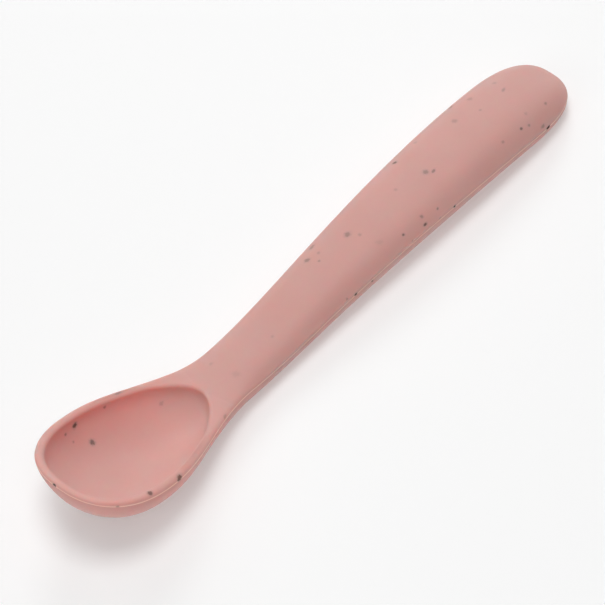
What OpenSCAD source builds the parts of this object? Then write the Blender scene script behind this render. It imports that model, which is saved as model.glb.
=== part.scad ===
// Baby spoon: a soft silicone spoon moulded in one shot over a stiff nylon core.
// The spoon lies on a table (z = 0) with the bowl towards -X and the handle towards +X.
// Distances along it are measured from the bowl's tip, and centred() then moves the middle of
// its length to x = 0. A cross-section is built out from the parting line, where the two mould
// halves meet: half_width() out to the side, crown() above the line and belly() below it.

/* [Overall] */
// Length from the bowl's tip to the end of the handle
spoon_l = 140; // [120:1:160]

/* [Bowl] */
// Width of the bowl at its widest place
bowl_w = 26.2; // [24:0.2:30]
// Distance of that place from the tip
bowl_wide_x = 15; // [13:0.2:18]
// Roundness of the tip seen from above, where 2 is an ellipse and more is squarer
nose_power = 2.35; // [2:0.05:2.8]
// Roundness of the tip seen from the side
keel_power = 2.2; // [2:0.1:2.8]
// Roundness of the bowl's cross-section
bowl_power = 1.85; // [1.8:0.05:2.2]
// Depth of the bowl's underside below the parting line
bowl_belly = 11.7; // [10:0.1:12]
// Distance from the tip to the place where the underside is deepest
deep_x = 12.8; // [12:0.2:16]
// Angle at which the bowl's rim climbs towards the tip
bowl_tilt = 17; // [14:0.2:19]
// Height of the rim's line above the table where it would meet the tip
tip_z = 16.05; // [14:0.05:19]
// Radius of the slight upward curl of the tip
tip_curl_r = 85; // [60:1:200]

/* [Rim and hollow] */
// Thickness of the bowl's wall at the rim
rim_w = 1.8; // [1.6:0.1:2.4]
// Height of the rim's rounded top above the parting line
rim_crown = 1; // [0.7:0.05:1.3]
// Width over which the rim's outer edge is rounded
rim_round = 1; // [0.8:0.1:1.2]
// Radius of the rim's inner edge
rim_fillet = 0.6; // [0.3:0.05:0.8]
// Depth of the hollow below the rim
hollow_depth = 7.5; // [6:0.1:9.2]
// Distance from the tip to the deepest place of the hollow
hollow_x = 14; // [12:0.5:16]
// Distance from the tip to the root of the hollow, where the neck begins
root_x = 36.9; // [34:0.1:39]
// Distance from the tip to the place where the hollow's sides start to close
root_start_x = 28.2; // [26:0.2:31]
// Roundness of the hollow's root seen from above
root_power = 2; // [2:0.1:3]
// Roundness of the hollow's walls, where more gives steeper walls and a flatter floor
hollow_power = 2.2; // [2:0.1:2.5]

/* [Neck and handle] */
// Width of the neck
neck_w = 12.8; // [11:0.2:15]
// Distance from the tip to the narrowest place of the neck
neck_x = 44.5; // [42:0.5:48]
// Distance from the tip to the place where the neck's top is fully rounded
neck_full_x = 48.5; // [46:0.5:54]
// Height of the neck's rounded top above the parting line
neck_crown = 2.45; // [2:0.05:3.6]
// Depth of the neck's underside below the parting line
neck_belly = 4.9; // [4.4:0.1:5.4]
// Width of the handle at its widest place
handle_w = 17.8; // [16:0.2:21]
// Distance of that place from the handle's end
handle_wide_l = 18; // [14:0.5:26]
// Height of the handle's rounded top above the parting line
handle_crown = 3.6; // [3.2:0.1:4.8]
// Depth of the handle's underside below the parting line
handle_belly = 6; // [5.2:0.1:6.6]
// Distance from the handle's end to the place where the handle has both of these
handle_full_l = 49; // [40:1:60]
// Distance from the handle's end to the place where it has the height and depth that follow
end_full_l = 10; // [8:1:20]
// Height of the top near the handle's end
end_crown = 4.7; // [3.4:0.1:5]
// Depth of the underside near the handle's end
end_belly = 5.3; // [5:0.1:6.2]
// Length over which the top and underside round off at the end
end_round = 14; // [10:0.2:15]
// Roundness of the end seen from above
end_power = 2.8; // [2.2:0.05:3.2]
// Roundness of the handle's underside in cross-section
under_power = 3; // [2.4:0.1:3.4]

/* [Side line] */
// Height of the top of the handle's arch, at the parting line
arch_z = 6.9; // [6.6:0.1:8]
// Distance from the handle's end to the top of the arch
arch_l = 44; // [35:1:50]
// Radius of the arch
arch_r = 236; // [200:2:400]
// Softness of the bend where the bowl's line runs into the arch
bend_soft = 3.5; // [3:0.1:4.6]

/* [Stiffening core] */
// Thickness of silicone beside the core
core_cover = 3.2; // [3:0.1:3.8]
// Thickness of the core
core_t = 3; // [2:0.1:3.4]
// Roundness of the core's cross-section, where more is closer to a flat bar
core_power = 4; // [3:0.5:5]
// Distance from the tip to the core's front end
core_front_x = 42; // [41:0.5:50]
// Silicone between the core's rear end and the end of the handle
core_end_cover = 9; // [8:0.5:14]
// Length over which each end of the core is rounded
core_end_round = 4; // [3:0.5:6]
// Radius of the holes that the silicone fills to lock the core in place
anchor_r = 1.8; // [1.2:0.1:2]
// Distance from the tip to the first of these holes
anchor_x = 62; // [58:0.5:66]
// Distance from one hole to the next
anchor_pitch = 15; // [12:0.5:20]
// Gap for the primer between the core and the silicone
bond_gap = 0.05; // [0.03:0.01:0.1]

/* [Hidden] */

// Strips across the spoon, from the tip to the hollow's root and from there to the handle's end
bowl_strips = 36;
handle_strips = 60;
strips = bowl_strips + handle_strips;
// Steps from the edge up to the middle line, and down to it
top_steps = 10;
under_steps = 10;
// Steps of these that round the rim's outer edge
rim_steps = 5;
half_strip = top_steps + under_steps;
strip_end = 2 * half_strip;
// Steps from the mouth of the hollow down to its deepest point
hollow_steps = 12;
// Angle at which the handle's strips start on their cosine, which sets how fine they are there
handle_start_angle = 40;
// Places measured from the tip
handle_wide_x = spoon_l - handle_wide_l;
handle_full_x = spoon_l - handle_full_l;
end_full_x = spoon_l - end_full_l;
arch_x = spoon_l - arch_l;
// Place on the edge that the last strip of the bowl runs to
root_edge_x = root_x + rim_w;
// Length before and after the hollow's root in which the rim's top becomes the neck's rounded top
crown_lead = 4;
crown_lag = 10;
// Place and length in which the bowl's cross-section becomes the handle's
section_x = 27;
section_l = 18;
// The core's rear end, its stations and the points round each
core_end_x = spoon_l - core_end_cover;
core_stations = 36;
core_points = 20;
// Facets that approximate a circle
$fn = 32;

function within(t) = max(0, min(1, t));
function mix(a, b, t) = a + (b - a) * t;
// Smooth step from 0 to 1
function ease(t) = (1 - cos(180 * within(t))) / 2;
// Arc that falls from 1 to 0 as t goes from 0 to 1, and an ellipse's where power is 2
function arc_down(t, power) = pow(1 - pow(within(t), power), 1 / power);
// Cosine and sine that run round a superellipse's quarter
function across(angle, power) = pow(max(0, cos(angle)), 2 / power);
function along(angle, power) = pow(max(0, sin(angle)), 2 / power);

// Half the width, before the tip and the end are rounded
function side_w(x) =
    x < neck_x
    ? mix(bowl_w / 2, neck_w / 2, ease((x - bowl_wide_x) / (neck_x - bowl_wide_x)))
    : mix(neck_w / 2, handle_w / 2, ease((x - neck_x) / (handle_wide_x - neck_x)));
function half_width(x) =
    side_w(x)
    * arc_down(1 - x / bowl_wide_x, nose_power)
    * arc_down((x - handle_wide_x) / (spoon_l - handle_wide_x), end_power);

// Height of the parting line: the bowl's tilted line runs smoothly into the handle's arch
function bowl_line(x) =
    tip_z - x * tan(bowl_tilt) + pow(max(0, bowl_wide_x - x), 2) / (2 * tip_curl_r);
function arch_line(x) = arch_z - pow(x - arch_x, 2) / (2 * arch_r);
function line_z(x) =
    (bowl_line(x) + arch_line(x)) / 2
    + sqrt(pow((bowl_line(x) - arch_line(x)) / 2, 2) + pow(bend_soft, 2));

function end_taper(x) = arc_down((x - spoon_l + end_round) / end_round, 2);
// Height of the top above the parting line
function crown(x) =
    end_taper(x)
    * (x < neck_full_x
        ? mix(rim_crown, neck_crown, ease((x - root_x) / (neck_full_x - root_x)))
        : x < handle_full_x
        ? mix(neck_crown, handle_crown, ease((x - neck_full_x) / (handle_full_x - neck_full_x)))
        : mix(handle_crown, end_crown, ease((x - handle_full_x) / (end_full_x - handle_full_x))));
// Depth of the underside below the parting line
function belly(x) =
    end_taper(x)
    * arc_down(1 - x / deep_x, keel_power)
    * (x < neck_x
        ? mix(bowl_belly, neck_belly, ease((x - deep_x) / (neck_x - deep_x)))
        : x < handle_full_x
        ? mix(neck_belly, handle_belly, ease((x - neck_x) / (handle_full_x - neck_x)))
        : mix(handle_belly, end_belly, ease((x - handle_full_x) / (end_full_x - handle_full_x))));
function section_power(x) = mix(bowl_power, under_power, ease((x - section_x) / section_l));

// Half the width of the hollow's mouth
function mouth_w(x) =
    (side_w(x) - rim_w)
    * arc_down(1 - (x - rim_w) / (bowl_wide_x - rim_w), nose_power)
    * arc_down((x - root_start_x) / (root_x - root_start_x), root_power);

// Share of the bowl's or the handle's length at which strip i lies
function bowl_share(i) = (1 - cos(180 * i / bowl_strips)) / 2;
function handle_share(i) =
    let (angle = mix(handle_start_angle, 180, (i - bowl_strips) / handle_strips))
    (cos(handle_start_angle) - cos(angle)) / (1 + cos(handle_start_angle));
// Ends of strip i seen from above: on the edge, and on the mouth or the middle line
function edge_x(i) =
    i <= bowl_strips
    ? mix(0, root_edge_x, bowl_share(i))
    : mix(root_edge_x, spoon_l, handle_share(i));
function inner_x(i) =
    i <= bowl_strips
    ? mix(rim_w, root_x, bowl_share(i))
    : mix(root_x, spoon_l, handle_share(i));
function edge_at(i) = [edge_x(i), half_width(edge_x(i))];
function inner_at(i) = [inner_x(i), i < bowl_strips ? mouth_w(inner_x(i)) : 0];
// How far strip i has changed from the rim's form to the neck's rounded top
function crown_share(i) = ease((edge_x(i) - root_x + crown_lead) / (crown_lead + crown_lag));

// Step k of strip i: [distance from the edge, share of the crown, drop at the rim's inner edge]
function rim_step(i, k, length) =
    let (fillet = i <= bowl_strips ? rim_fillet : 0)
    let (turn = 90 * k / rim_steps)
    let (back = 90 * (k - rim_steps - 1) / (top_steps - rim_steps - 1))
    k <= rim_steps
    ? [rim_round * (1 - cos(turn)), sin(turn), 0]
    : [length - fillet * (1 - sin(back)), 1, fillet * (1 - cos(back))];
function crown_step(k, length) =
    let (turn = 90 * k / top_steps)
    [length * (1 - cos(turn)), sin(turn), 0];
function top_point(i, k) =
    let (edge = edge_at(i))
    let (inner = inner_at(i))
    let (length = norm(inner - edge))
    let (s = mix(rim_step(i, k, length), crown_step(k, length), crown_share(i)))
    let (p = mix(edge, inner, length > 0 ? s[0] / length : 0))
    [p[0], p[1], line_z(p[0]) + crown(p[0]) * s[1] - s[2]];
// The underside is flattened where it would reach below the table
function under_point(i, k) =
    let (x = edge_x(i))
    let (angle = 90 * k / under_steps)
    let (power = section_power(x))
    [
        x,
        half_width(x) * across(angle, power),
        max(0, line_z(x) - belly(x) * along(angle, power))
    ];
// Point j of strip i, from the left of the mouth round the underside to the right of the mouth
function strip_point(i, j) =
    let (q = min(j, strip_end - j))
    let (p = q <= top_steps ? top_point(i, top_steps - q) : under_point(i, q - top_steps))
    [p[0], j <= half_strip ? p[1] : -p[1], p[2]];

// Number of that point in the list, where points that coincide share one number
function strip_number(i, j) =
    i == 0
    ? min(j, strip_end - j, top_steps)
    : i == strips
    ? strips * (strip_end + 1)
    : i * (strip_end + 1) + (i >= bowl_strips && j == strip_end ? 0 : j);

// Point q of the mouth, from the tip along the left to the root and back along the right
mouth_points = 2 * bowl_strips;
function mouth_strip(q) = q <= bowl_strips ? q : mouth_points - q;
function mouth_side(q) = q <= bowl_strips ? 0 : strip_end;
function hollow_point(q, level) =
    let (rim = strip_point(mouth_strip(q), mouth_side(q)))
    let (angle = 90 * level / hollow_steps)
    let (share = across(angle, hollow_power))
    let (x = mix(hollow_x, rim[0], share))
    let (lift = rim[2] - line_z(rim[0]))
    let (floor_lift = rim_crown - rim_fillet)
    [
        x,
        rim[1] * share,
        line_z(x) + mix(floor_lift, lift, share) - hollow_depth * along(angle, hollow_power)
    ];
first_hollow_number = (strips + 1) * (strip_end + 1);
function hollow_number(q, level) =
    let (turn = q % mouth_points)
    level == 0
    ? strip_number(mouth_strip(turn), mouth_side(turn))
    : first_hollow_number + (level < hollow_steps ? (level - 1) * mouth_points + turn
        : (hollow_steps - 1) * mouth_points);

// Two triangles for a four-sided patch, or one where two of its corners coincide
function patch(a, b, c, d) = [
    if (a != b && b != c && a != c) [a, b, c],
    if (a != c && c != d && a != d) [a, c, d]
];

// Outside of the spoon with the hollow of its bowl, as one closed surface
module spoon_skin() {
    points = [
        for (i = [0:strips]) for (j = [0:strip_end]) strip_point(i, j),
        for (level = [1:hollow_steps - 1]) for (q = [0:mouth_points - 1]) hollow_point(q, level),
        hollow_point(0, hollow_steps)
    ];
    faces = [
        for (i = [0:strips - 1]) for (j = [0:strip_end - 1])
            each patch(
                strip_number(i, j),
                strip_number(i, j + 1),
                strip_number(i + 1, j + 1),
                strip_number(i + 1, j)
            ),
        for (level = [0:hollow_steps - 1]) for (q = [0:mouth_points - 1])
            each patch(
                hollow_number(q, level),
                hollow_number(q + 1, level),
                hollow_number(q + 1, level + 1),
                hollow_number(q, level + 1)
            )
    ];
    polyhedron(points = points, faces = faces);
}

// Bar that follows the handle's arch and outline, made larger all round by grow
module core_bar(grow) {
    front = core_front_x - grow;
    rear = core_end_x + grow;
    function station_x(i) = mix(front, rear, (1 - cos(180 * i / core_stations)) / 2);
    function end_share(x) =
        arc_down(1 - (x - front) / core_end_round, 2)
        * arc_down((x - rear + core_end_round) / core_end_round, 2);
    function bar_point(i, k) =
        let (x = station_x(i))
        let (angle = 360 * k / core_points)
        let (half_w = (half_width(x) - core_cover + grow) * end_share(x))
        let (half_t = (core_t / 2 + grow) * end_share(x))
        [
            x,
            half_w * sign(cos(angle)) * across(acos(abs(cos(angle))), core_power),
            line_z(x) + (crown(x) - belly(x)) / 2
                + half_t * sign(sin(angle)) * along(acos(abs(cos(angle))), core_power)
        ];
    function bar_number(i, k) =
        i == 0 ? 0
        : i == core_stations ? 1
        : 2 + (i - 1) * core_points + k % core_points;
    points = [
        bar_point(0, 0),
        bar_point(core_stations, 0),
        for (i = [1:core_stations - 1]) for (k = [0:core_points - 1]) bar_point(i, k)
    ];
    faces = [
        for (i = [0:core_stations - 1]) for (k = [0:core_points - 1])
            each patch(
                bar_number(i, k),
                bar_number(i + 1, k),
                bar_number(i + 1, k + 1),
                bar_number(i, k + 1)
            )
    ];
    polyhedron(points = points, faces = faces);
}

// The core with its anchor holes, or the room for it in the silicone when grow is the gap
module core_shape(grow) {
    last_anchor_x = core_end_x - core_end_round - anchor_r;
    difference() {
        core_bar(grow);
        for (x = [anchor_x:anchor_pitch:last_anchor_x])
            translate([x, 0, 0]) cylinder(r = anchor_r - grow, h = line_z(x) + crown(x));
    }
}

module centred() {
    translate([-spoon_l / 2, 0, 0]) children();
}

// Bowl, neck and handle in one moulding, with the core's room inside the neck and handle
module silicone_body() {
    color([0.79, 0.6, 0.57])
        centred()
            difference() {
                spoon_skin();
                core_shape(bond_gap);
            }
}

// Nylon bar with anchor holes, wholly enclosed by the silicone
module stiffening_core() {
    color([0.92, 0.9, 0.86])
        centred()
            core_shape(0);
}

silicone_body();
stiffening_core();
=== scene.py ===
"""Looks of a baby spoon: dusty pink silicone with dark flecks, moulded over a nylon core."""

import math
import random

import bpy
import numpy as np
from mathutils import Matrix, Vector
from mathutils.bvhtree import BVHTree


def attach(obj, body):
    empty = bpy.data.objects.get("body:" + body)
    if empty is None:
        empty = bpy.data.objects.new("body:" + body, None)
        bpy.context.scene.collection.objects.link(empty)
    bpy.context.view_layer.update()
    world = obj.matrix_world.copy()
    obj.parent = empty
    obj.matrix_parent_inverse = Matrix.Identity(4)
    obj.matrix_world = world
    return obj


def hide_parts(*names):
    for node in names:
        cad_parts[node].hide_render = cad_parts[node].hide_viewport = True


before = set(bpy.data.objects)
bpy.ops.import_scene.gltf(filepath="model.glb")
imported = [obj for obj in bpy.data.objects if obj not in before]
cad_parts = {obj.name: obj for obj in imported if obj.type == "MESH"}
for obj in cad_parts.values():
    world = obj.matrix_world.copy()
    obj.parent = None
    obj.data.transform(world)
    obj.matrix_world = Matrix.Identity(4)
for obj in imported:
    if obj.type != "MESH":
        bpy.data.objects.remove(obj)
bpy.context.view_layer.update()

MM = 0.001

# Driving dimensions of the spoon in millimetres, as in its CAD source. Places are measured from the
# bowl's tip.
SPOON_L = 140
BOWL_W = 26.2
BOWL_WIDE_X = 15
NOSE_POWER = 2.35
KEEL_POWER = 2.2
BOWL_POWER = 1.85
BOWL_BELLY = 11.7
DEEP_X = 12.8
BOWL_TILT = math.radians(17)
TIP_Z = 16.05
TIP_CURL_R = 85
RIM_W = 1.8
RIM_CROWN = 1
RIM_ROUND = 1
HOLLOW_DEPTH = 7.5
HOLLOW_X = 14
ROOT_X = 36.9
ROOT_START_X = 28.2
ROOT_POWER = 2
NECK_W = 12.8
NECK_X = 44.5
NECK_FULL_X = 48.5
NECK_CROWN = 2.45
NECK_BELLY = 4.9
HANDLE_W = 17.8
HANDLE_WIDE_X = SPOON_L - 18
HANDLE_CROWN = 3.6
HANDLE_BELLY = 6
HANDLE_FULL_X = SPOON_L - 49
END_FULL_X = SPOON_L - 10
END_CROWN = 4.7
END_BELLY = 5.3
END_ROUND = 14
END_POWER = 2.8
UNDER_POWER = 3
ARCH_Z = 6.9
ARCH_X = SPOON_L - 44
ARCH_R = 236
BEND_SOFT = 3.5
CROWN_LEAD = 4
CROWN_LAG = 10
SECTION_X = 27
SECTION_L = 18
ROOT_EDGE_X = ROOT_X + RIM_W

# Softer than in the CAD source, by at most 0.3 mm, as the photograph's shading shows: the rounding of the
# rim's inner edge, the curve of the hollow's wall, and how far the handle's top bulges towards its sides
RIM_FILLET = 0.8
HOLLOW_POWER = 2.05
SHOULDER = 0.6
SHOULDER_POWER = 4

# Steps of the mesh: strips across the spoon, the angle at which the handle's start in their half turn, and
# rows round each strip
BOWL_STRIPS = 150
HANDLE_STRIPS = 330
STRIPS = BOWL_STRIPS + HANDLE_STRIPS
HANDLE_START_ANGLE = math.radians(10)
ROUND_ROWS = 12
FLAT_ROWS = 12
FILLET_ROWS = 9
UNDER_ROWS = 34
HOLLOW_RINGS = 64
# Length behind the hollow's root over which the rows spread out evenly over the rounded top
ROW_SPREAD = 9
# Steps in which a strip is searched for the places of the flash's rows, the least length that is divided
# by, and the decimals of a millimetre to which points that coincide agree
SEARCH_STEPS = 4000
LEAST = 1e-9
SAME_DECIMALS = 6

# Moulding flash along the parting line: how far it stands out, half its height, the height over which the
# body beside it comes back out, and the heights of its rows
FLASH_OUT = 0.1
FLASH_HALF = 0.13
FLASH_SETTLE = 0.9
FLASH_HEIGHTS = np.array((0, 0.04, 0.08, 0.12, 0.17, 0.25))
# On the handle the flash lies below the widest place: by how much, the stretch over which it gets there,
# and the rows between the two as shares of that height
FLASH_DROP = 0.85
FLASH_DROP_START = 34
FLASH_DROP_END = 62
FLASH_DROP_ROWS = np.array((0.25, 0.5, 0.72))

# Camera: angle round and above the spoon, roll, distance and picture scale, as fitted to the photograph's
# outline
CAMERA_AZIMUTH = math.radians(-41.555)
CAMERA_ELEVATION = math.radians(52.874)
CAMERA_ROLL = math.radians(-7.955)
CAMERA_DISTANCE = 700
PHOTO_SIDE = 605
PIXELS_PER_MM = 5.170
# Where the middle of the spoon's frame lies in the photograph, in its pixels, and that point's height in
# millimetres
CENTRE_PX = (PHOTO_SIDE / 2 + 18.50, PHOTO_SIDE / 2 + 2.57)
CENTRE_Z = -0.3
SENSOR = 36
# Nearest and farthest place that the camera shows, in metres
CAMERA_REACH = (0.05, 10)

# Colours of the silicone, its flecks, the flash and the core, as linear red, green, blue and alpha
SILICONE_LOW = (0.69, 0.405, 0.37, 1)
SILICONE_HIGH = (0.71, 0.422, 0.387, 1)
FLECK_HALO = (0.23, 0.22, 0.2, 1)
FLECK_DEEP = (0.2, 0.165, 0.125, 1)
FLECK_DARK = (0.045, 0.02, 0.016, 1)
# The flash's colour is partly its own paler tone and partly a painted highlight where its ridge catches the
# light
FLASH_TONE_AND_HIGHLIGHT = (1, 0.76, 0.64, 1)
NYLON_COLOUR = (0.86, 0.84, 0.78, 1)
# Clouds in the silicone's colour: their scale, and the noise values between which they go from low to high
CLOUD_SCALE = 90
CLOUD_STEP = (0.3, 0.7)
# Satin surface of the silicone, how far light scatters in it in millimetres, and red's, green's and blue's
# shares of that
SILICONE_ROUGHNESS = 0.58
SILICONE_IOR = 1.41
SILICONE_GLOSS = 0.2
SCATTER_REACH = 5
SCATTER_SHARES = (1, 0.27, 0.2)
# Fine grain of the surface: its height in millimetres and its scale
GRAIN_HEIGHT = 0.004
GRAIN_SCALE = 5000

# Growth of the deep, faint flecks and of the strong ones beside their sizes in the table, the waviness of
# their outlines as a share of their size, and its scale
FLECK_GROWTH = (1.5, 1.05)
FLECK_WAVER = 0.9
FLECK_WAVER_SCALE = 2200
# Where a fleck starts and where the faintest is full, as shares of half its size, and how much further out
# the strongest is full
FLECK_START = 1.2
FLECK_FULL = 0.35
FLECK_FULL_GAIN = 0.3
# Where the grey halo round a fleck starts and is full, and its share of the fleck's strength
HALO_STEP = (1.9, 0.7)
HALO_STRENGTH = 0.4
# Shares of fleck between which its tone goes from deep to dark
TONE_STEP = (0.25, 0.8)
# Random flecks are tried this often all round the spoon and kept where the photograph doesn't show it. Their
# half sizes and the stretch that they lie on are in millimetres.
HIDDEN_TRIES = 110
HIDDEN_SEED = 7
HIDDEN_STRETCH = (3, SPOON_L - 2)
HIDDEN_HALF_SIZES = (0.12, 0.15, 0.18, 0.22, 0.35, 0.48)
HIDDEN_LENGTHS = (1, 1.5)
HIDDEN_STRENGTHS = (0.25, 1)
# Rays for them start this far out and aim this far below the parting line, in millimetres
PROBE_REACH = 100
PROBE_DROP = 1

# Light from above that fades towards the horizon by this power of the height, and the floor's half width in
# metres, its colour and its own light
SKY_STRENGTH = 0.42
SKY_FADE = 2
FLOOR_HALF = 1.5
FLOOR_COLOUR = (0.75, 0.75, 0.75, 1)
FLOOR_GLOW = 0.26
# Soft round lights: their diameter in metres, and each one's name, place in metres and power in watts
LIGHT_SIZE = 0.5
LIGHTS = (
    ("top_light", (0, 0, 1.1), 5),
    ("right_light", (0.65, 0.65, 0.7), 2.6),
    ("far_light", (0, 0.95, 0.65), 0.6),
    ("left_light", (-0.95, 0, 0.65), 1.3),
    ("low_light", (1.1, 0, 0.3), 0.9),
    ("near_light", (-0.3, -0.5, 0.95), 1),
)

# Flecks that the photograph shows: place, length and width in its pixels, angle in it in degrees,
# and strength
FLECKS = (
    # In the bowl
    (74.8, 425.4, 5.2, 4.6, 70, 0.7),
    (65.5, 434.5, 2.8, 2.4, 0, 0.45),
    (73.5, 442, 2.2, 2, 0, 0.3),
    (92.2, 442.5, 5.6, 5, 135, 0.6),
    (104.6, 407.2, 2.8, 2.6, 90, 0.45),
    (161.5, 403.5, 5, 2.8, 80, 0.22),
    # On its rim
    (54.5, 485.2, 3.8, 3.2, 0, 0.9),
    (117.6, 506.8, 2.6, 2.2, 0, 0.42),
    (150, 493, 4.6, 4.2, 20, 0.68),
    (179.6, 477.8, 6, 5.4, 50, 0.7),
    (118.2, 393, 7, 2.6, 25, 0.35),
    # On the neck
    (225, 416.5, 5.2, 2.4, 55, 0.28),
    (236, 374, 6.5, 5, 0, 0.1),
    (211, 364, 3, 3, 0, 0.12),
    (272.5, 336.5, 2.4, 2.2, 0, 0.15),
    # On the near side of the handle
    (355.8, 294, 3.4, 2.8, 0, 0.85),
    (347, 299, 2, 2, 0, 0.35),
    (372.3, 281, 2.2, 2, 45, 0.6),
    (412.5, 241, 2, 1.8, 0, 0.3),
    (403.4, 234.7, 2.8, 2.4, 0, 0.65),
    (425.2, 224.5, 4, 2.6, 40, 0.7),
    (421.8, 216.6, 3.4, 3, 0, 0.42),
    (437.6, 208.7, 2.4, 2, 90, 0.46),
    (454.5, 206.2, 3.6, 3, 90, 0.9),
    (440, 218, 2.2, 2, 0, 0.3),
    # On the top of the handle, from the neck to the end
    (307.2, 260.2, 5, 3.6, 20, 0.4),
    (319, 260.9, 2.2, 2, 0, 0.3),
    (311.9, 247.2, 6, 4, 50, 0.32),
    (318.6, 252.8, 2.6, 2.4, 0, 0.2),
    (347.4, 234.6, 5.4, 4.6, 40, 0.4),
    (359.7, 234.6, 2.8, 2.6, 0, 0.2),
    (379.5, 242, 6, 4, 0, 0.1),
    (395.7, 189.5, 3, 2.6, 0, 0.15),
    (394.6, 162.7, 5, 3.4, 10, 0.62),
    (425.7, 172, 5, 4.4, 0, 0.4),
    (433.4, 170.9, 4.4, 2.4, 60, 0.48),
    (415, 142.6, 3.4, 3, 0, 0.15),
    (450.6, 107.2, 5, 4, 40, 0.5),
    (454.5, 121, 4.6, 4, 0, 0.22),
    (469.8, 99, 4.6, 4, 0, 0.2),
    (480.3, 110, 2.4, 2, 0, 0.2),
    (494.4, 83, 3.2, 2.8, 0, 0.15),
    (503.4, 89.8, 4.6, 2.4, 60, 0.28),
    # Near the end of the handle
    (545.6, 103.4, 2.8, 2.4, 20, 0.36),
    (525.8, 113.6, 3, 2.8, 0, 0.15),
    (529, 125.3, 2.6, 2.2, 0, 0.38),
    (521.3, 128.8, 3, 2.6, 0, 0.6),
    (548.2, 127.3, 5.6, 4.2, 20, 1),
    (543, 126.4, 5, 3, 10, 0.4),
    (502.8, 142, 2.8, 2.4, 0, 0.3),
)


def mix(a, b, t):
    return a + (b - a) * t


def ease(t):
    """Smooth step from 0 to 1."""
    return (1 - np.cos(math.pi * np.clip(t, 0, 1))) / 2


def arc_down(t, power):
    """Arc that falls from 1 to 0 as t goes from 0 to 1, and an ellipse's where power is 2."""
    return (1 - np.clip(t, 0, 1) ** power) ** (1 / power)


def side_w(x):
    """Half the width, before the tip and the end are rounded."""
    bowl = mix(BOWL_W / 2, NECK_W / 2, ease((x - BOWL_WIDE_X) / (NECK_X - BOWL_WIDE_X)))
    handle = mix(NECK_W / 2, HANDLE_W / 2, ease((x - NECK_X) / (HANDLE_WIDE_X - NECK_X)))
    return np.where(x < NECK_X, bowl, handle)


def half_width(x):
    """Half the width of the outline."""
    nose = arc_down(1 - x / BOWL_WIDE_X, NOSE_POWER)
    end = arc_down((x - HANDLE_WIDE_X) / (SPOON_L - HANDLE_WIDE_X), END_POWER)
    return side_w(x) * nose * end


def line_z(x):
    """Height of the parting line: the bowl's tilted line runs smoothly into the handle's arch."""
    bowl = TIP_Z - x * math.tan(BOWL_TILT) + np.maximum(0, BOWL_WIDE_X - x) ** 2 / (2 * TIP_CURL_R)
    arch = ARCH_Z - (x - ARCH_X) ** 2 / (2 * ARCH_R)
    return (bowl + arch) / 2 + np.sqrt(((bowl - arch) / 2) ** 2 + BEND_SOFT**2)


def end_taper(x):
    """Share of the heights that is left where the handle's end rounds down."""
    return arc_down((x - SPOON_L + END_ROUND) / END_ROUND, 2)


def crown(x):
    """Height of the top above the parting line."""
    height = mix(RIM_CROWN, NECK_CROWN, ease((x - ROOT_X) / (NECK_FULL_X - ROOT_X)))
    height += (HANDLE_CROWN - NECK_CROWN) * ease((x - NECK_FULL_X) / (HANDLE_FULL_X - NECK_FULL_X))
    height += (END_CROWN - HANDLE_CROWN) * ease((x - HANDLE_FULL_X) / (END_FULL_X - HANDLE_FULL_X))
    return height * end_taper(x)


def belly(x):
    """Depth of the underside below the parting line."""
    depth = mix(BOWL_BELLY, NECK_BELLY, ease((x - DEEP_X) / (NECK_X - DEEP_X)))
    depth += (HANDLE_BELLY - NECK_BELLY) * ease((x - NECK_X) / (HANDLE_FULL_X - NECK_X))
    depth += (END_BELLY - HANDLE_BELLY) * ease((x - HANDLE_FULL_X) / (END_FULL_X - HANDLE_FULL_X))
    return depth * end_taper(x) * arc_down(1 - x / DEEP_X, KEEL_POWER)


def mouth_w(x):
    """Half the width of the hollow's mouth."""
    nose = arc_down(1 - (x - RIM_W) / (BOWL_WIDE_X - RIM_W), NOSE_POWER)
    root = arc_down((x - ROOT_START_X) / (ROOT_X - ROOT_START_X), ROOT_POWER)
    return (side_w(x) - RIM_W) * nose * root


def strip_ends():
    """Ends of every strip seen from above: on the edge, and on the mouth or the middle line."""
    bowl = (1 - np.cos(np.linspace(0, math.pi, BOWL_STRIPS + 1))) / 2
    turn = np.linspace(HANDLE_START_ANGLE, math.pi, HANDLE_STRIPS + 1)[1:]
    handle = (math.cos(HANDLE_START_ANGLE) - np.cos(turn)) / (1 + math.cos(HANDLE_START_ANGLE))
    edge_x = np.concatenate([ROOT_EDGE_X * bowl, mix(ROOT_EDGE_X, SPOON_L, handle)])
    inner_x = np.concatenate([mix(RIM_W, ROOT_X, bowl), mix(ROOT_X, SPOON_L, handle)])
    inner_y = np.where(np.arange(STRIPS + 1) < BOWL_STRIPS, mouth_w(inner_x), 0)
    return np.stack([edge_x, half_width(edge_x)], -1), np.stack([inner_x, inner_y], -1)


def edge_normals(edge):
    """Outward direction across the edge of each strip, seen from above."""
    along = np.gradient(edge, axis=0)
    along[0] = (0, 1)
    along[-1] = (0, -1)
    out = np.stack([-along[:, 1], along[:, 0]], -1)
    return out / np.linalg.norm(out, axis=-1, keepdims=True)


def rounded(share):
    """Height share of a quarter round at a share of its width."""
    return np.sqrt(1 - (1 - np.clip(share, 0, 1)) ** 2)


def mouth_drop(points, mouth):
    """Drop of the rim's rounded inner edge, from the distance to the hollow's mouth."""
    drop = np.zeros(len(points))
    start = mouth[:-1]
    step = mouth[1:] - start
    near = np.flatnonzero(points[:, 0] < ROOT_X + RIM_W)
    for k in near:
        away = points[k] - start
        share = np.clip((away * step).sum(-1) / (step**2).sum(-1), 0, 1)[:, None]
        distance = np.sqrt(((away - share * step) ** 2).sum(-1).min())
        drop[k] = RIM_FILLET * (1 - rounded(distance / RIM_FILLET))
    return drop


def flash_share(height):
    """Share of the flash's width at a height above or below its middle."""
    return np.exp(-((height / FLASH_HALF) ** 2))


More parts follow.
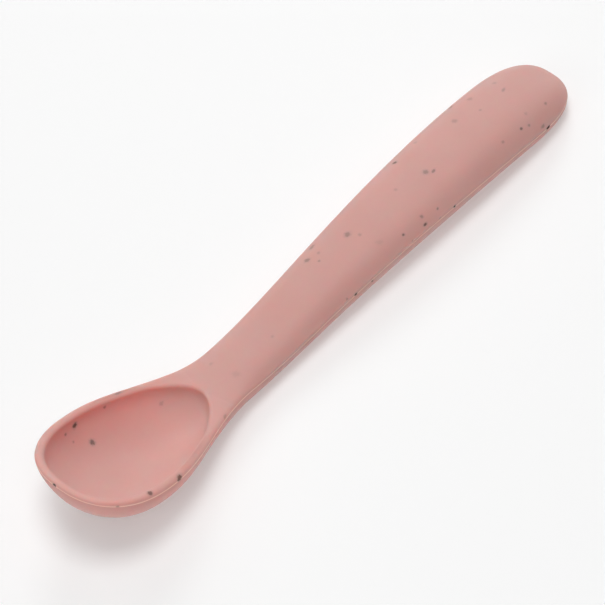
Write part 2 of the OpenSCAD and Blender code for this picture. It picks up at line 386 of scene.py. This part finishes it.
def flash_drop(x):
    """Depth of the flash below the widest place."""
    return FLASH_DROP * ease((x - FLASH_DROP_START) / (FLASH_DROP_END - FLASH_DROP_START)) * end_taper(x)


def flash_bead(height):
    """Outward shift at a height beside the flash, which stands on a body that is inset by its width."""
    return FLASH_OUT * (flash_share(height) - ease(1 - height / FLASH_SETTLE))


def top_distances(length, start, spread):
    """Distances of a strip's rows from the edge: crowded on the rim's roundings, or spread over a dome."""
    turn = np.linspace(start, math.pi / 2, ROUND_ROWS + 1)[1:]
    flat = np.linspace(RIM_ROUND, length - RIM_FILLET, FLAT_ROWS + 2)[1:-1]
    back = np.linspace(0, math.pi / 2, FILLET_ROWS + 1)
    rim = np.concatenate([RIM_ROUND * (1 - np.cos(turn)), flat, length - RIM_FILLET * (1 - np.sin(back))])
    turn = np.linspace(start, math.pi / 2, len(rim) + 1)[1:]
    return mix(rim, length * (1 - np.cos(turn)), spread)


def top_row(edge, inner, out, mouth):
    """Points of one strip from the inner end to the edge, and how far each is in the flash."""
    length = max(np.linalg.norm(inner - edge), LEAST)
    x = edge[0]
    height = max(float(crown(x)), LEAST)
    domed = float(ease((x - ROOT_X + CROWN_LEAD) / (CROWN_LEAD + CROWN_LAG)))
    spread = float(ease((x - ROOT_EDGE_X) / ROW_SPREAD))

    def lift(s):
        bulge = 1 - np.clip(1 - s / length, 0, 1) ** SHOULDER_POWER
        return mix(rounded(s / RIM_ROUND), mix(rounded(s / length), bulge, SHOULDER), domed)

    flash_top = min(FLASH_HEIGHTS[-1], height / 2)
    regular = top_distances(length, math.asin(flash_top / height), spread)
    # The search is finer towards the edge
    grid = length * np.linspace(0, 1, SEARCH_STEPS + 1) ** 3
    flash = np.interp(FLASH_HEIGHTS / FLASH_HEIGHTS[-1] * flash_top, height * lift(grid), grid)
    s = np.concatenate([flash, np.maximum(regular, flash[-1])])
    xy = edge + (inner - edge) * (s / length)[:, None]
    above = crown(xy[:, 0]) * lift(s)
    z = line_z(xy[:, 0]) + above - mouth_drop(xy, mouth)
    away = above + float(flash_drop(x))
    points = np.column_stack([xy + out * flash_bead(away)[:, None], z])
    return points[::-1], flash_share(away)[::-1]


def under_row(edge, out):
    """Points of one strip from just below the edge to the middle of the underside."""
    x = edge[0]
    depth = max(float(belly(x)), LEAST)
    power = float(mix(BOWL_POWER, UNDER_POWER, ease((x - SECTION_X) / SECTION_L)))
    drop = float(flash_drop(x))
    flash_low = FLASH_HEIGHTS / FLASH_HEIGHTS[-1] * min(FLASH_HEIGHTS[-1], depth / 2)
    heights = np.concatenate([FLASH_DROP_ROWS * drop, drop - flash_low[:0:-1], drop + flash_low])
    flash = np.arcsin((np.maximum.accumulate(np.clip(heights, 0, depth)) / depth) ** (power / 2))
    angle = np.concatenate([flash, np.linspace(flash[-1], math.pi / 2, UNDER_ROWS + 1)[1:]])
    below = depth * np.sin(angle) ** (2 / power)
    y = edge[1] * np.maximum(0, np.cos(angle)) ** (2 / power)
    y[-1] = 0
    away = np.abs(below - drop)
    xy = np.column_stack([np.full(len(y), x), y]) + out * flash_bead(away)[:, None]
    z = np.maximum(0, line_z(x) - below)
    return np.column_stack([xy, z]), flash_share(away)


def outside_rows():
    """Points round every strip of the outside, as one row for each strip, and the share of flash at each."""
    edge, inner = strip_ends()
    out = edge_normals(edge)
    mouth = inner[: BOWL_STRIPS + 1]
    rows = []
    flash = []
    for i in range(STRIPS + 1):
        top, top_flash = top_row(edge[i], inner[i], out[i], mouth)
        under, under_flash = under_row(edge[i], out[i])
        half = np.vstack([top, under])
        other = half[-2::-1] * (1, -1, 1)
        rows.append(np.vstack([half, other]))
        half_flash = np.concatenate([top_flash, under_flash])
        flash.append(np.concatenate([half_flash, half_flash[-2::-1]]))
    rows = np.array(rows)
    # Points of the middle line lie right on it, and the last strip is one point
    rows[0, :, 1] = 0
    rows[BOWL_STRIPS:, (0, -1), 1] = 0
    rows[:, len(half) - 1, 1] = 0
    rows[-1] = rows[-1, len(top) - 1]
    return rows, np.array(flash)


def hollow_rings(left):
    """Rings of points from the hollow's mouth, whose left half is given, down to the lowest place."""
    rim = np.vstack([left, (left * (1, -1, 1))[-2:0:-1]])
    angle = np.linspace(0, math.pi / 2, HOLLOW_RINGS + 1)[:, None]
    share = np.maximum(0, np.cos(angle)) ** (2 / HOLLOW_POWER)
    x = mix(HOLLOW_X, rim[:, 0], share)
    z = line_z(x) + RIM_CROWN - RIM_FILLET - HOLLOW_DEPTH * np.sin(angle) ** (2 / HOLLOW_POWER)
    rings = np.stack([x, rim[:, 1] * share, z], -1)
    rings[0] = rim
    return rings


def patches(grid, closed):
    """Four-sided faces between the rows of a grid of point numbers, whose rows may close into rings."""
    turn = np.arange(grid.shape[1] - (0 if closed else 1))
    after = (turn + 1) % grid.shape[1]
    corners = [grid[:-1][:, turn], grid[1:][:, turn], grid[1:][:, after], grid[:-1][:, after]]
    return np.stack(corners, -1).reshape(-1, 4)


def spoon_mesh():
    """The spoon with the hollow of its bowl: points, faces and the share of flash at each point."""
    rows, flash = outside_rows()
    rings = hollow_rings(rows[: BOWL_STRIPS + 1, 0])
    points = np.vstack([rows.reshape(-1, 3), rings.reshape(-1, 3)])
    flash = np.concatenate([flash.ravel(), np.zeros(rings.size // 3)])
    strip_grid = np.arange(rows.size // 3).reshape(rows.shape[:2])
    ring_grid = np.arange(rows.size // 3, len(points)).reshape(rings.shape[:2])
    quads = np.vstack([patches(strip_grid, False), patches(ring_grid, True)])
    # Points that coincide become one
    rounded_points = np.round(points, SAME_DECIMALS) + 0.0
    _, first, number = np.unique(rounded_points, axis=0, return_index=True, return_inverse=True)
    faces = [list(dict.fromkeys(face)) for face in number.ravel()[quads].tolist()]
    points = (points[first] - (SPOON_L / 2, 0, 0)) * MM
    return points, [face for face in faces if len(face) > 2], flash[first]


def make_spoon():
    """The visible spoon, in place of the CAD's silicone body."""
    points, faces, flash = spoon_mesh()
    mesh = bpy.data.meshes.new("silicone_spoon")
    mesh.from_pydata(points.tolist(), [], faces)
    mesh.attributes.new("flash", "FLOAT", "POINT").data.foreach_set("value", flash.astype(np.float32))
    mesh.materials.append(silicone_material())
    mesh.shade_smooth()
    mesh.validate()
    surface = Surface(points.tolist(), faces)
    mark_flecks(mesh, shown_flecks(surface) + hidden_flecks(surface))
    spoon = bpy.data.objects.new("silicone_spoon", mesh)
    bpy.context.scene.collection.objects.link(spoon)
    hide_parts("silicone_body")
    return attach(spoon, "root")


def camera_axes():
    """Directions in the picture: to its right, up, and back towards the camera."""
    az, el, roll = CAMERA_AZIMUTH, CAMERA_ELEVATION, CAMERA_ROLL
    back = Vector((math.sin(az) * math.cos(el), -math.cos(az) * math.cos(el), math.sin(el)))
    level = Vector((math.cos(az), math.sin(az), 0))
    rise = back.cross(level)
    right = level * math.cos(roll) + rise * math.sin(roll)
    return right, back.cross(right), back


def camera_place():
    """Where the camera stands for the middle of the spoon's frame to be at its place in the picture."""
    right, up, back = camera_axes()
    shift_right = (CENTRE_PX[0] - PHOTO_SIDE / 2) / PIXELS_PER_MM
    shift_up = (PHOTO_SIDE / 2 - CENTRE_PX[1]) / PIXELS_PER_MM
    return Vector((0, 0, CENTRE_Z)) + back * CAMERA_DISTANCE - right * shift_right - up * shift_up


def make_camera():
    """Camera as it stood for the photograph."""
    data = bpy.data.cameras.new("camera")
    data.sensor_width = SENSOR
    data.lens = PIXELS_PER_MM * CAMERA_DISTANCE * SENSOR / PHOTO_SIDE
    data.clip_start, data.clip_end = CAMERA_REACH
    camera = bpy.data.objects.new("camera", data)
    bpy.context.scene.collection.objects.link(camera)
    turn = Matrix(camera_axes()).transposed()
    camera.matrix_world = Matrix.Translation(camera_place() * MM) @ turn.to_4x4()
    bpy.context.scene.camera = camera


class Surface:
    """The spoon's surface, on which places in the photograph are looked up."""

    def __init__(self, points, faces):
        self.tree = BVHTree.FromPolygons(points, faces)

    def seen_at(self, x, y):
        """Place on the spoon that the photograph shows at x, y, or None beside the spoon."""
        right, up, back = camera_axes()
        reach = PIXELS_PER_MM * CAMERA_DISTANCE
        along = right * ((x - PHOTO_SIDE / 2) / reach) - up * ((y - PHOTO_SIDE / 2) / reach) - back
        return self.tree.ray_cast(camera_place() * MM, along.normalized())[0]

    def hidden_at(self, x, angle):
        """Place on the spoon at x and at an angle round it, or None where the camera sees that side."""
        out = Vector((0, math.cos(angle), math.sin(angle)))
        middle = Vector((x - SPOON_L / 2, 0, float(line_z(x)) - PROBE_DROP)) * MM
        place, normal = self.tree.ray_cast(middle + out * PROBE_REACH * MM, -out)[:2]
        return None if place is None or normal.dot(camera_axes()[2]) > 0 else place


def shown_flecks(surface):
    """Flecks that the photograph shows."""
    spots = []
    for x, y, length, width, angle, strength in FLECKS:
        place = surface.seen_at(x, y)
        ahead = surface.seen_at(x + math.cos(math.radians(angle)), y - math.sin(math.radians(angle)))
        if place is None:
            continue
        way = (ahead or place) - place
        size = MM / PIXELS_PER_MM / 2 * mix(*FLECK_GROWTH, strength)
        spots.append((place, math.atan2(way.y, way.x), length * size, width * size, strength))
    return spots


def hidden_flecks(surface):
    """Random flecks on the sides that the photograph doesn't show."""
    spots = []
    chance = random.Random(HIDDEN_SEED)
    for _ in range(HIDDEN_TRIES):
        place = surface.hidden_at(chance.uniform(*HIDDEN_STRETCH), chance.uniform(-math.pi, math.pi / 2))
        width = MM * chance.choice(HIDDEN_HALF_SIZES)
        turn = chance.uniform(0, math.pi)
        length = width * chance.uniform(*HIDDEN_LENGTHS)
        spot = (place, turn, length, width, chance.uniform(*HIDDEN_STRENGTHS))
        if place is not None:
            spots.append(spot)
    return spots


class Shader:
    """The nodes of one material, added and joined in one go."""

    def __init__(self, name):
        self.material = bpy.data.materials.new(name)
        self.material.use_nodes = True
        self.tree = self.material.node_tree
        self.output = self.tree.nodes["Principled BSDF"]

    def node(self, kind, inputs, **settings):
        """New node, with values or other nodes' sockets for its inputs."""
        node = self.tree.nodes.new("ShaderNode" + kind)
        for name, value in settings.items():
            setattr(node, name, value)
        for name, value in inputs.items():
            self.join(node.inputs[name], value)
        return node

    def join(self, socket, value):
        if isinstance(value, bpy.types.NodeSocket):
            self.tree.links.new(value, socket)
        else:
            socket.default_value = value

    def math(self, operation, a, b):
        return self.node("Math", {0: a, 1: b}, operation=operation).outputs[0]

    def mixed(self, share, a, b):
        """Colour between a and b."""
        node = self.node("Mix", {}, data_type="RGBA")
        self.join(node.inputs[0], share)
        self.join(node.inputs[6], a)
        self.join(node.inputs[7], b)
        return node.outputs[2]

    def stepped(self, value, start, end, top=1.0):
        """Smooth step from 0 at start to top at end."""
        places = {"Value": value, "From Min": start, "From Max": end, "To Max": top}
        return self.node("MapRange", places, interpolation_type="SMOOTHSTEP").outputs[0]


def mesh_corners(mesh):
    """Places of the corners of all faces, and each corner's face."""
    vertices = np.zeros(len(mesh.vertices) * 3)
    owners = np.zeros(len(mesh.loops), dtype=int)
    mesh.vertices.foreach_get("co", vertices)
    mesh.loops.foreach_get("vertex_index", owners)
    sides = [face.loop_total for face in mesh.polygons]
    return vertices.reshape(-1, 3)[owners], np.repeat(np.arange(len(sides)), sides)


def inside_fleck(points, spot):
    """Places in a fleck's own directions, from its centre and in shares of half its length and width."""
    centre, turn, half_length, half_width, _ = spot
    x, y, z = (points - np.array(centre)).T
    along = x * math.cos(turn) + y * math.sin(turn)
    across = y * math.cos(turn) - x * math.sin(turn)
    return np.stack([along, across, z], -1) / (half_length, half_width, half_width)


def mark_flecks(mesh, spots):
    """Give each face the strength of its nearest fleck, and each of its corners the place in that fleck.

    A spot is a fleck's place, its turn about the vertical, half its length and width, and its strength.
    """
    corners, face_of = mesh_corners(mesh)
    sides = np.bincount(face_of)
    middles = np.stack([np.bincount(face_of, corners[:, k]) for k in range(3)], -1) / sides[:, None]
    least = np.full(len(sides), np.inf)
    nearest = np.zeros(len(sides), dtype=int)
    for number, spot in enumerate(spots):
        away = np.linalg.norm(inside_fleck(middles, spot), axis=1)
        nearest = np.where(away < least, number, nearest)
        least = np.minimum(away, least)
    place = np.zeros((len(corners), 3), dtype=np.float32)
    for number, spot in enumerate(spots):
        mine = nearest[face_of] == number
        place[mine] = inside_fleck(corners[mine], spot)
    strength = np.array([spot[4] for spot in spots], dtype=np.float32)[nearest]
    places = mesh.attributes.new("fleck_place", "FLOAT_VECTOR", "CORNER")
    places.data.foreach_set("vector", place.ravel())
    mesh.attributes.new("fleck_strength", "FLOAT", "FACE").data.foreach_set("value", strength)


def fleck_shares(shader, place):
    """Shares of fleck and of its grey halo, from the places in the flecks that mark_flecks gave."""
    inside = shader.node("Attribute", {}, attribute_name="fleck_place").outputs["Vector"]
    strength = shader.node("Attribute", {}, attribute_name="fleck_strength").outputs["Fac"]
    wave = {"Vector": place, "Scale": FLECK_WAVER_SCALE, "Detail": 1.0}
    waver = shader.node("TexNoise", wave).outputs["Color"]
    centred = shader.node("VectorMath", {0: waver, 1: (0.5, 0.5, 0.5)}, operation="SUBTRACT").outputs[0]
    shift = shader.node("VectorMath", {0: centred, "Scale": FLECK_WAVER}, operation="SCALE").outputs[0]
    moved = shader.node("VectorMath", {0: inside, 1: shift}, operation="ADD").outputs[0]
    away = shader.node("VectorMath", {0: moved}, operation="LENGTH").outputs["Value"]
    full = shader.math("ADD", shader.math("MULTIPLY", strength, FLECK_FULL_GAIN), FLECK_FULL)
    halo = shader.stepped(away, *HALO_STEP, shader.math("MULTIPLY", strength, HALO_STRENGTH))
    return shader.stepped(away, FLECK_START, full, strength), halo


def silicone_material():
    """Satin silicone with flecks in it, and an opaque bead of flash along the parting line, paler partly in
    its own tone and partly as a painted highlight.
    """
    shader = Shader("silicone")
    place = shader.node("TexCoord", {}).outputs["Object"]
    cloud = shader.node("TexNoise", {"Vector": place, "Scale": CLOUD_SCALE, "Detail": 3.0}).outputs[0]
    base = shader.mixed(shader.stepped(cloud, *CLOUD_STEP), SILICONE_LOW, SILICONE_HIGH)
    flash = shader.node("Attribute", {}, attribute_name="flash").outputs["Fac"]
    # Flash bead: its paler tone plus a painted highlight along the ridge
    base = shader.mixed(flash, base, FLASH_TONE_AND_HIGHLIGHT)
    fleck, halo = fleck_shares(shader, place)
    tone = shader.mixed(shader.stepped(fleck, *TONE_STEP), FLECK_DEEP, FLECK_DARK)
    base = shader.mixed(fleck, shader.mixed(halo, base, FLECK_HALO), tone)
    grain = shader.node("TexNoise", {"Vector": place, "Scale": GRAIN_SCALE, "Detail": 2.0}).outputs[0]
    bump = shader.node("Bump", {"Height": grain, "Strength": 1.0, "Distance": GRAIN_HEIGHT * MM})
    settings = {
        "Base Color": base,
        "Roughness": SILICONE_ROUGHNESS,
        "IOR": SILICONE_IOR,
        "Specular IOR Level": SILICONE_GLOSS,
        "Subsurface Weight": shader.math("SUBTRACT", 1.0, flash),
        "Subsurface Radius": SCATTER_SHARES,
        "Subsurface Scale": SCATTER_REACH * MM,
        "Normal": bump.outputs[0],
    }
    for name, value in settings.items():
        shader.join(shader.output.inputs[name], value)
    return shader.material


def nylon_material():
    material = bpy.data.materials.new("nylon")
    material.use_nodes = True
    shader = material.node_tree.nodes["Principled BSDF"]
    shader.inputs["Base Color"].default_value = NYLON_COLOUR
    return material


def make_floor():
    """Plain pale floor with a little light of its own, which keeps the shadows faint."""
    mesh = bpy.data.meshes.new("floor")
    corners = [(x * FLOOR_HALF, y * FLOOR_HALF, 0) for x, y in ((-1, -1), (1, -1), (1, 1), (-1, 1))]
    mesh.from_pydata(corners, [], [(0, 1, 2, 3)])
    floor = bpy.data.objects.new("floor", mesh)
    material = bpy.data.materials.new("floor")
    material.use_nodes = True
    shader = material.node_tree.nodes["Principled BSDF"]
    shader.inputs["Base Color"].default_value = FLOOR_COLOUR
    shader.inputs["Emission Color"].default_value = (1, 1, 1, 1)
    shader.inputs["Emission Strength"].default_value = FLOOR_GLOW
    mesh.materials.append(material)
    bpy.context.scene.collection.objects.link(floor)


def soft_light(name, place, power):
    """Round light that shines from its place to the middle of the frame."""
    data = bpy.data.lights.new(name, "AREA")
    data.shape = "DISK"
    data.size = LIGHT_SIZE
    data.energy = power
    light = bpy.data.objects.new(name, data)
    turn = Vector(place).to_track_quat("Z", "Y").to_matrix()
    light.matrix_world = Matrix.Translation(place) @ turn.to_4x4()
    bpy.context.scene.collection.objects.link(light)


def make_sky():
    """White light from the whole sky, which is strongest overhead."""
    world = bpy.data.worlds.new("studio")
    world.use_nodes = True
    tree = world.node_tree
    place = tree.nodes.new("ShaderNodeTexCoord")
    parts = tree.nodes.new("ShaderNodeSeparateXYZ")
    faded = tree.nodes.new("ShaderNodeMath")
    faded.operation = "POWER"
    faded.inputs[1].default_value = SKY_FADE
    strength = tree.nodes.new("ShaderNodeMath")
    strength.operation = "MULTIPLY"
    strength.inputs[1].default_value = SKY_STRENGTH
    tree.nodes["Background"].inputs["Color"].default_value = (1, 1, 1, 1)
    tree.links.new(place.outputs["Generated"], parts.inputs[0])
    tree.links.new(parts.outputs["Z"], faded.inputs[0])
    tree.links.new(faded.outputs[0], strength.inputs[0])
    tree.links.new(strength.outputs[0], tree.nodes["Background"].inputs["Strength"])
    bpy.context.scene.world = world


def light_studio():
    make_sky()
    for name, place, power in LIGHTS:
        soft_light(name, place, power)
    bpy.context.scene.view_settings.view_transform = "Standard"


make_camera()
make_spoon()
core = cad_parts["stiffening_core"]
core.data.materials.clear()
core.data.materials.append(nylon_material())
make_floor()
light_studio()
